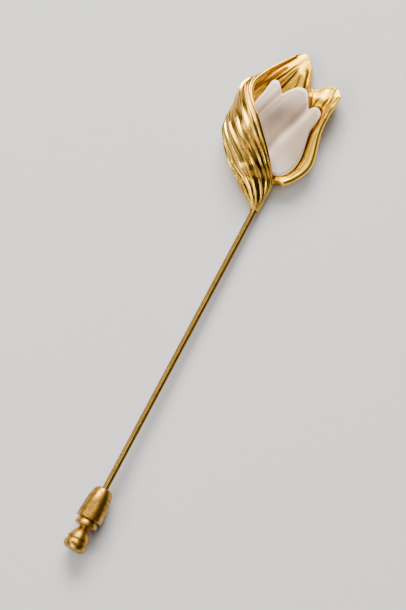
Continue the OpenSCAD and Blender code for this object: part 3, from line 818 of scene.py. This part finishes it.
def polished_gold_casting(settings):
    """Gold plate over a brass casting, polished outside on a mop and left satin inside the petals, where the
    mop doesn't reach. Grooves and recesses are painted browner as shade, and casting leaves a slight
    unevenness under the polish."""
    material, tree, shader = start_material("polished_gold_plated_casting")
    place = add(tree, "ShaderNodeTexCoord"), "Object"
    recess, satin, lane, run = (
        (add(tree, "ShaderNodeAttribute", attribute_name=name), "Fac")
        for name in ("recess", "satin", "lane", "run"))
    # Casting leaves waves of about 0.9 mm under the polish, and the mop marks of about 0.12 mm
    waves = add(tree, "ShaderNodeTexNoise", {"Vector": place, "Scale": per(0.9), "Detail": 2.0})
    marks = add(tree, "ShaderNodeTexNoise", {"Vector": place, "Scale": per(0.12), "Detail": 2.0})
    skin = add(tree, "ShaderNodeMix", {
        "Factor": satin, FIRST: settings.gold, SECOND: settings.satin_gold}, data_type="RGBA")
    # Painted shade: recesses darken the plate toward the shade colour
    depth = add(tree, "ShaderNodeMath", {0: recess, 1: 0.9}, operation="POWER", use_clamp=True)
    tint = add(tree, "ShaderNodeMix", {
        "Factor": (depth, "Value"), FIRST: (skin, MIXED), SECOND: settings.groove_shade_gold}, data_type="RGBA")
    gloss = add(tree, "ShaderNodeMapRange", {
        "Value": (marks, "Fac"), "From Min": 0.3, "From Max": 0.7, "To Min": 0.16, "To Max": 0.22})
    # Satin inside and dull in grooves
    inside = add(tree, "ShaderNodeMath", {0: satin, 1: 0.22, 2: (gloss, "Result")}, operation="MULTIPLY_ADD")
    dull = add(tree, "ShaderNodeMath", {0: recess, 1: 0.08, 2: (inside, "Value")}, operation="MULTIPLY_ADD")
    # Lines left by finishing the mould by hand run along the petals, about 0.5 mm apart and 14 mm long
    along = add(tree, "ShaderNodeCombineXYZ", {"X": lane, "Y": run})
    drawn_out = add(tree, "ShaderNodeMapping", {"Vector": (along, "Vector"), "Scale": (1 / 0.5, 1 / 14, 1)})
    lines = add(tree, "ShaderNodeTexNoise", {"Vector": (drawn_out, "Vector"), "Scale": 1.0, "Detail": 3.0})
    wavy = add(tree, "ShaderNodeBump", {"Height": (waves, "Fac"), "Strength": 0.1, "Distance": 0.02 * MM})
    lined = add(tree, "ShaderNodeBump", {
        "Height": (lines, "Fac"), "Normal": (wavy, "Normal"), "Strength": 0.8, "Distance": 0.15 * MM})
    marked = add(tree, "ShaderNodeBump", {
        "Height": (marks, "Fac"), "Normal": (lined, "Normal"), "Strength": 0.12, "Distance": 0.01 * MM})
    feed(tree, shader, {
        "Base Color": (tint, MIXED), "Roughness": (dull, "Value"), "Normal": (marked, "Normal"),
        "Metallic": 1.0})
    return material


def drawn_gilt_wire(settings):
    """Gold plate on drawn brass wire: bright, with fine lines along the wire from the drawing die, and
    patches where the plate has tarnished."""
    material, tree, shader = start_material("gold_plated_drawn_wire")
    place = add(tree, "ShaderNodeTexCoord"), "Object"
    # Die lines about 0.05 mm apart and several millimetres long, drawn 0.09 mm apart so that they show
    drawn_out = add(tree, "ShaderNodeMapping", {"Vector": place, "Scale": (per(0.09), per(6.0), per(0.09))})
    lines = add(tree, "ShaderNodeTexNoise", {"Vector": (drawn_out, "Vector"), "Scale": 1.0, "Detail": 2.0})
    patches = add(tree, "ShaderNodeTexNoise", {"Vector": place, "Scale": per(2.5), "Detail": 3.0})
    tint = add(tree, "ShaderNodeMix", {
        "Factor": (patches, "Fac"), FIRST: settings.gold, SECOND: settings.tarnish}, data_type="RGBA")
    gloss = add(tree, "ShaderNodeMapRange", {
        "Value": (patches, "Fac"), "From Min": 0.3, "From Max": 0.7, "To Min": 0.2, "To Max": 0.32})
    lined = add(tree, "ShaderNodeBump", {"Height": (lines, "Fac"), "Strength": 0.2, "Distance": 0.01 * MM})
    feed(tree, shader, {
        "Base Color": (tint, MIXED), "Roughness": (gloss, "Result"), "Normal": (lined, "Normal"),
        "Metallic": 1.0})
    return material


def worn_gold_turned_brass(settings):
    """Turned brass under a thin gold plate worn by handling: cloudy patches, rings left by the lathe tool."""
    material, tree, shader = start_material("worn_gold_plated_turned_brass")
    place = add(tree, "ShaderNodeTexCoord"), "Object"
    # Lathe rings about 0.1 mm apart along the guard, clouds of wear about 0.8 mm and pits of 0.15 mm
    ringed = add(tree, "ShaderNodeMapping", {"Vector": place, "Scale": (per(9.0), per(0.1), per(9.0))})
    rings = add(tree, "ShaderNodeTexNoise", {"Vector": (ringed, "Vector"), "Scale": 1.0, "Detail": 1.0})
    clouds = add(tree, "ShaderNodeTexNoise", {
        "Vector": place, "Scale": per(0.8), "Detail": 5.0, "Roughness": 0.65})
    pits = add(tree, "ShaderNodeTexNoise", {"Vector": place, "Scale": per(0.15), "Detail": 2.0})
    wear = add(tree, "ShaderNodeMapRange", {"Value": (clouds, "Fac"), "From Min": 0.42, "From Max": 0.66})
    tint = add(tree, "ShaderNodeMix", {
        "Factor": (wear, "Result"), FIRST: settings.plate, SECOND: settings.worn}, data_type="RGBA")
    gloss = add(tree, "ShaderNodeMapRange", {
        "Value": (clouds, "Fac"), "From Min": 0.35, "From Max": 0.7, "To Min": 0.28, "To Max": 0.45})
    turned_skin = add(tree, "ShaderNodeBump", {
        "Height": (rings, "Fac"), "Strength": 0.25, "Distance": 0.01 * MM})
    pitted = add(tree, "ShaderNodeBump", {
        "Height": (pits, "Fac"), "Normal": (turned_skin, "Normal"), "Strength": 0.25, "Distance": 0.015 * MM})
    feed(tree, shader, {
        "Base Color": (tint, MIXED), "Roughness": (gloss, "Result"), "Normal": (pitted, "Normal"),
        "Metallic": 1.0})
    return material


def frosted_pressed_glass(settings):
    """Pressed glass, frosted in acid: a satin white skin that light sinks into, whiter along its bevel as a
    painted highlight. Light is painted into its colour: a glow where light comes through, highlights at the
    foot and along a crease, and shade over the middle.
    """
    material, tree, shader = start_material("acid_frosted_pressed_glass")
    place = add(tree, "ShaderNodeTexCoord"), "Object"
    # Painted light: the light painted into the glass, and the painted highlight along the bevel and at the
    # foot
    bevel_and_foot_highlight, thin = (
        (add(tree, "ShaderNodeAttribute", attribute_name=name), "Fac") for name in ("bevel_and_foot_highlight", "thin"))
    # Acid etching leaves grains of about 0.05 mm, drawn as 0.1 mm so that they show, and clouds of about 3 mm
    grain = add(tree, "ShaderNodeTexNoise", {"Vector": place, "Scale": per(0.1), "Detail": 2.0})
    clouds = add(tree, "ShaderNodeTexNoise", {"Vector": place, "Scale": per(3.0), "Detail": 2.0})
    cloudy = add(tree, "ShaderNodeMath", {0: (clouds, "Fac"), 1: 0.2, 2: thin}, operation="MULTIPLY_ADD")
    light = add(tree, "ShaderNodeMath", {0: (cloudy, "Value"), 1: 0.1}, operation="SUBTRACT", use_clamp=True)
    tint = add(tree, "ShaderNodeMix", {
        "Factor": (light, "Value"), FIRST: settings.thick_shaded_glass, SECOND: settings.thin_lit_glass},
        data_type="RGBA")
    # Painted highlight along the bevel and at the foot
    rimmed = add(tree, "ShaderNodeMix", {
        "Factor": bevel_and_foot_highlight, FIRST: (tint, MIXED), SECOND: settings.bevel_highlight_glass}, data_type="RGBA")
    gloss = add(tree, "ShaderNodeMapRange", {
        "Value": (grain, "Fac"), "From Min": 0.3, "From Max": 0.7, "To Min": 0.36, "To Max": 0.5})
    etched = add(tree, "ShaderNodeBump", {"Height": (grain, "Fac"), "Strength": 0.2, "Distance": 0.01 * MM})
    # Light goes about 0.4 mm into the frosted skin
    feed(tree, shader, {
        "Base Color": (rimmed, MIXED), "Roughness": (gloss, "Result"), "Normal": (etched, "Normal"),
        "IOR": 1.5, "Subsurface Weight": 0.15, "Subsurface Radius": (1.0, 0.92, 0.9),
        "Subsurface Scale": 0.4 * MM})
    return material


def matt_board(settings):
    """Matt painted board with a faint mottle of fibres."""
    material, tree, shader = start_material("matt_pale_board")
    place = add(tree, "ShaderNodeTexCoord"), "Object"
    fibres = add(tree, "ShaderNodeTexNoise", {"Vector": place, "Scale": per(1.5), "Detail": 3.0})
    darker = [part * 0.96 for part in settings.floor]
    tint = add(tree, "ShaderNodeMix", {
        "Factor": (fibres, "Fac"), FIRST: settings.floor, SECOND: darker}, data_type="RGBA")
    feed(tree, shader, {"Base Color": (tint, MIXED), "Roughness": 0.9})
    return material


# The stage


class StageSettings(PropertyGroup):
    """The floor, the lights and the camera."""

    elevation: FloatProperty(
        name="Elevation", description="Camera's height above the floor, as an angle",
        default=math.radians(80), subtype="ANGLE")
    roll: FloatProperty(
        name="Roll", description="How far the pin leans to the right in the picture",
        default=math.radians(27.7), subtype="ANGLE")
    distance: FloatProperty(
        name="Distance", description="From the camera to the middle of the picture",
        default=2.0, unit="LENGTH")
    floor: FloatVectorProperty(
        name="Floor", description="Colour of the plain pale floor",
        default=linear("#CFCCC8"), size=3, subtype="COLOR")
    surround: FloatVectorProperty(
        name="Surround", description="Colour of the room that the metal reflects",
        default=linear("#272523"), size=3, subtype="COLOR")


# Lights: angle from the picture's top toward its left, elevation, distance, width, height (m) and power (W)
LIGHTS = {
    "key_softbox": [0, 36, 0.6, 0.42, 0.28, 10.0],
    "upper_left_softbox": [55, 28, 0.6, 0.16, 0.16, 0.2],
    "lower_left_softbox": [140, 23, 0.6, 0.26, 0.30, 2.4],
    "left_card": [92, 34, 0.6, 0.40, 0.36, 0.15],
    "upper_left_strip": [72, 38, 0.6, 0.44, 0.06, 1.05],
    "left_strip": [112, 38, 0.6, 0.44, 0.06, 0.95],
    "ceiling_panel": [0, 84, 0.9, 1.20, 1.20, 2.4],
    "overhead_softbox": [-28, 80, 0.6, 0.14, 0.14, 0.4],
}
# From the picture's middle to the wire's foot, along the picture's right and its top (m)
FOOT_IN_PICTURE = 0.00704, 0.01322
# The picture's height in pixels, a pixel's size on the pin (m) and the camera's film height (mm)
PICTURE_HEIGHT = 610
PIXEL = 0.137 * MM
FILM_HEIGHT = 36


def picture_axes(settings):
    """The picture's right, its top along the floor, and the way to the camera."""
    roll, rise = settings.roll, settings.elevation
    right = Vector((math.cos(roll), math.sin(roll), 0))
    top = Vector((-math.sin(roll), math.cos(roll), 0))
    toward = Vector((0, 0, math.sin(rise))) - top * math.cos(rise)
    return right, top, toward


def picture_middle(right, top):
    """The point of the pin's plane in the middle of the picture."""
    return Vector((FOOT * MM).tolist()) - right * FOOT_IN_PICTURE[0] - top * FOOT_IN_PICTURE[1]


def set_floor(context, settings):
    """A plain pale board, just under the pin."""
    half, level = 1.5, -0.00002
    corners = [(-half, -half, level), (half, -half, level), (half, half, level), (-half, half, level)]
    mesh = bpy.data.meshes.new("floor")
    mesh.from_pydata(corners, [], [(0, 1, 2, 3)])
    mesh.materials.append(matt_board(settings))
    floor = bpy.data.objects.new("floor", mesh)
    context.scene.collection.objects.link(floor)


def set_room(context, settings):
    """The dim room round the stage."""
    world = bpy.data.worlds.new("room")
    world.use_nodes = True
    background = world.node_tree.nodes["Background"]
    feed(world.node_tree, background, {"Color": settings.surround, "Strength": 1.0})
    context.scene.world = world


def set_lights(context, right, top):
    """Softboxes and strip lights, all facing the middle of the picture."""
    middle = picture_middle(right, top)
    for name, (turn, rise, distance, width, height, power) in LIGHTS.items():
        turn, rise = math.radians(turn), math.radians(rise)
        level = top * math.cos(turn) - right * math.sin(turn)
        way = level * math.cos(rise) + Vector((0, 0, math.sin(rise)))
        light = bpy.data.lights.new(name, "AREA")
        light.shape = "RECTANGLE"
        light.size, light.size_y, light.energy = width, height, power
        lamp = bpy.data.objects.new(name, light)
        lamp.location = middle + way * distance
        lamp.rotation_euler = (middle - lamp.location).to_track_quat("-Z", "Y").to_euler()
        context.scene.collection.objects.link(lamp)


def set_camera(context, settings, right, top, toward):
    """The camera at the photograph's angle, with the picture's right to the right."""
    view = bpy.data.cameras.new("camera")
    view.lens = FILM_HEIGHT * settings.distance / (PICTURE_HEIGHT * PIXEL)
    view.sensor_fit = "VERTICAL"
    view.sensor_height = FILM_HEIGHT
    view.clip_start, view.clip_end = 0.01, 20
    camera = bpy.data.objects.new("camera", view)
    camera.location = picture_middle(right, top) + toward * settings.distance
    camera.rotation_euler = Matrix((right, toward.cross(right), toward)).transposed().to_euler()
    context.scene.collection.objects.link(camera)
    context.scene.camera = camera


# Operators


class SCARFPIN_OT_build_cup(Operator):
    """Build the gilt tulip cup"""

    bl_idname = "scarf_pin.build_cup"
    bl_label = "Build cup"

    def execute(self, context):
        settings = context.scene.scarf_pin_cup
        points, faces, finish = cup_mesh(settings)
        make_piece("gilt_tulip_cup", points + HEAD_SHIFT, faces, "pin", ["tulip_cup"],
                   polished_gold_casting(settings), finish)
        return {"FINISHED"}


class SCARFPIN_OT_build_bud(Operator):
    """Build the frosted glass bud"""

    bl_idname = "scarf_pin.build_bud"
    bl_label = "Build bud"

    def execute(self, context):
        settings = context.scene.scarf_pin_bud
        points, faces, finish = bud_mesh(settings)
        make_piece("frosted_glass_bud", points + HEAD_SHIFT, faces, "pin", ["glass_bud"],
                   frosted_pressed_glass(settings), finish)
        return {"FINISHED"}


class SCARFPIN_OT_build_wire(Operator):
    """Build the wire with its collar and its point"""

    bl_idname = "scarf_pin.build_wire"
    bl_label = "Build wire"

    def execute(self, context):
        settings = context.scene.scarf_pin_wire
        points, faces = turned(wire_profile(settings.radius / MM), settings.segments)
        make_piece("gilt_wire_stem", points, faces, "pin", ["pin_stem"],
                   drawn_gilt_wire(settings))
        return {"FINISHED"}


class SCARFPIN_OT_build_guard(Operator):
    """Build the guard's barrel and its knob"""

    bl_idname = "scarf_pin.build_guard"
    bl_label = "Build guard"

    def execute(self, context):
        settings = context.scene.scarf_pin_guard
        metal = worn_gold_turned_brass(settings)
        points, faces = turned(barrel_profile(settings.radius / MM), settings.segments)
        make_piece("guard_barrel", points, faces, "clutch", ["clutch_barrel"], metal)
        points, faces = turned(knob_profile(), settings.segments)
        make_piece("guard_knob", points, faces, "knob", ["clutch_knob"], metal)
        return {"FINISHED"}


class SCARFPIN_OT_set_stage(Operator):
    """Set the floor, the lights and the camera"""

    bl_idname = "scarf_pin.set_stage"
    bl_label = "Set stage"

    def execute(self, context):
        settings = context.scene.scarf_pin_stage
        right, top, toward = picture_axes(settings)
        set_floor(context, settings)
        set_room(context, settings)
        set_lights(context, right, top)
        set_camera(context, settings, right, top, toward)
        return {"FINISHED"}


class SCARFPIN_PT_panel(Panel):
    """The pin's pieces and their settings"""

    bl_idname = "SCARFPIN_PT_panel"
    bl_label = "Scarf pin"
    bl_space_type = "VIEW_3D"
    bl_region_type = "UI"
    bl_category = "Scarf pin"

    def draw(self, context):
        for operator, place, _ in STEPS:
            box = self.layout.box()
            box.operator(operator.bl_idname)
            settings = getattr(context.scene, place)
            for name in settings.bl_rna.properties.keys():
                if name not in ("rna_type", "name"):
                    box.prop(settings, name)


# Each step's operator, where its settings are kept in the scene, and their class
STEPS = [
    (SCARFPIN_OT_build_cup, "scarf_pin_cup", CupSettings),
    (SCARFPIN_OT_build_bud, "scarf_pin_bud", BudSettings),
    (SCARFPIN_OT_build_wire, "scarf_pin_wire", WireSettings),
    (SCARFPIN_OT_build_guard, "scarf_pin_guard", GuardSettings),
    (SCARFPIN_OT_set_stage, "scarf_pin_stage", StageSettings),
]
CLASSES = [group for _, _, group in STEPS] + [operator for operator, _, _ in STEPS] + [SCARFPIN_PT_panel]


def register():
    for cls in CLASSES:
        bpy.utils.register_class(cls)
    for _, place, group in STEPS:
        setattr(bpy.types.Scene, place, PointerProperty(type=group))


def unregister():
    for _, place, _ in STEPS:
        delattr(bpy.types.Scene, place)
    for cls in reversed(CLASSES):
        bpy.utils.unregister_class(cls)


def main():
    register()
    bpy.ops.scarf_pin.build_cup()
    bpy.ops.scarf_pin.build_bud()
    bpy.ops.scarf_pin.build_wire()
    bpy.ops.scarf_pin.build_guard()
    bpy.ops.scarf_pin.set_stage()


if __name__ == "__main__":
    main()
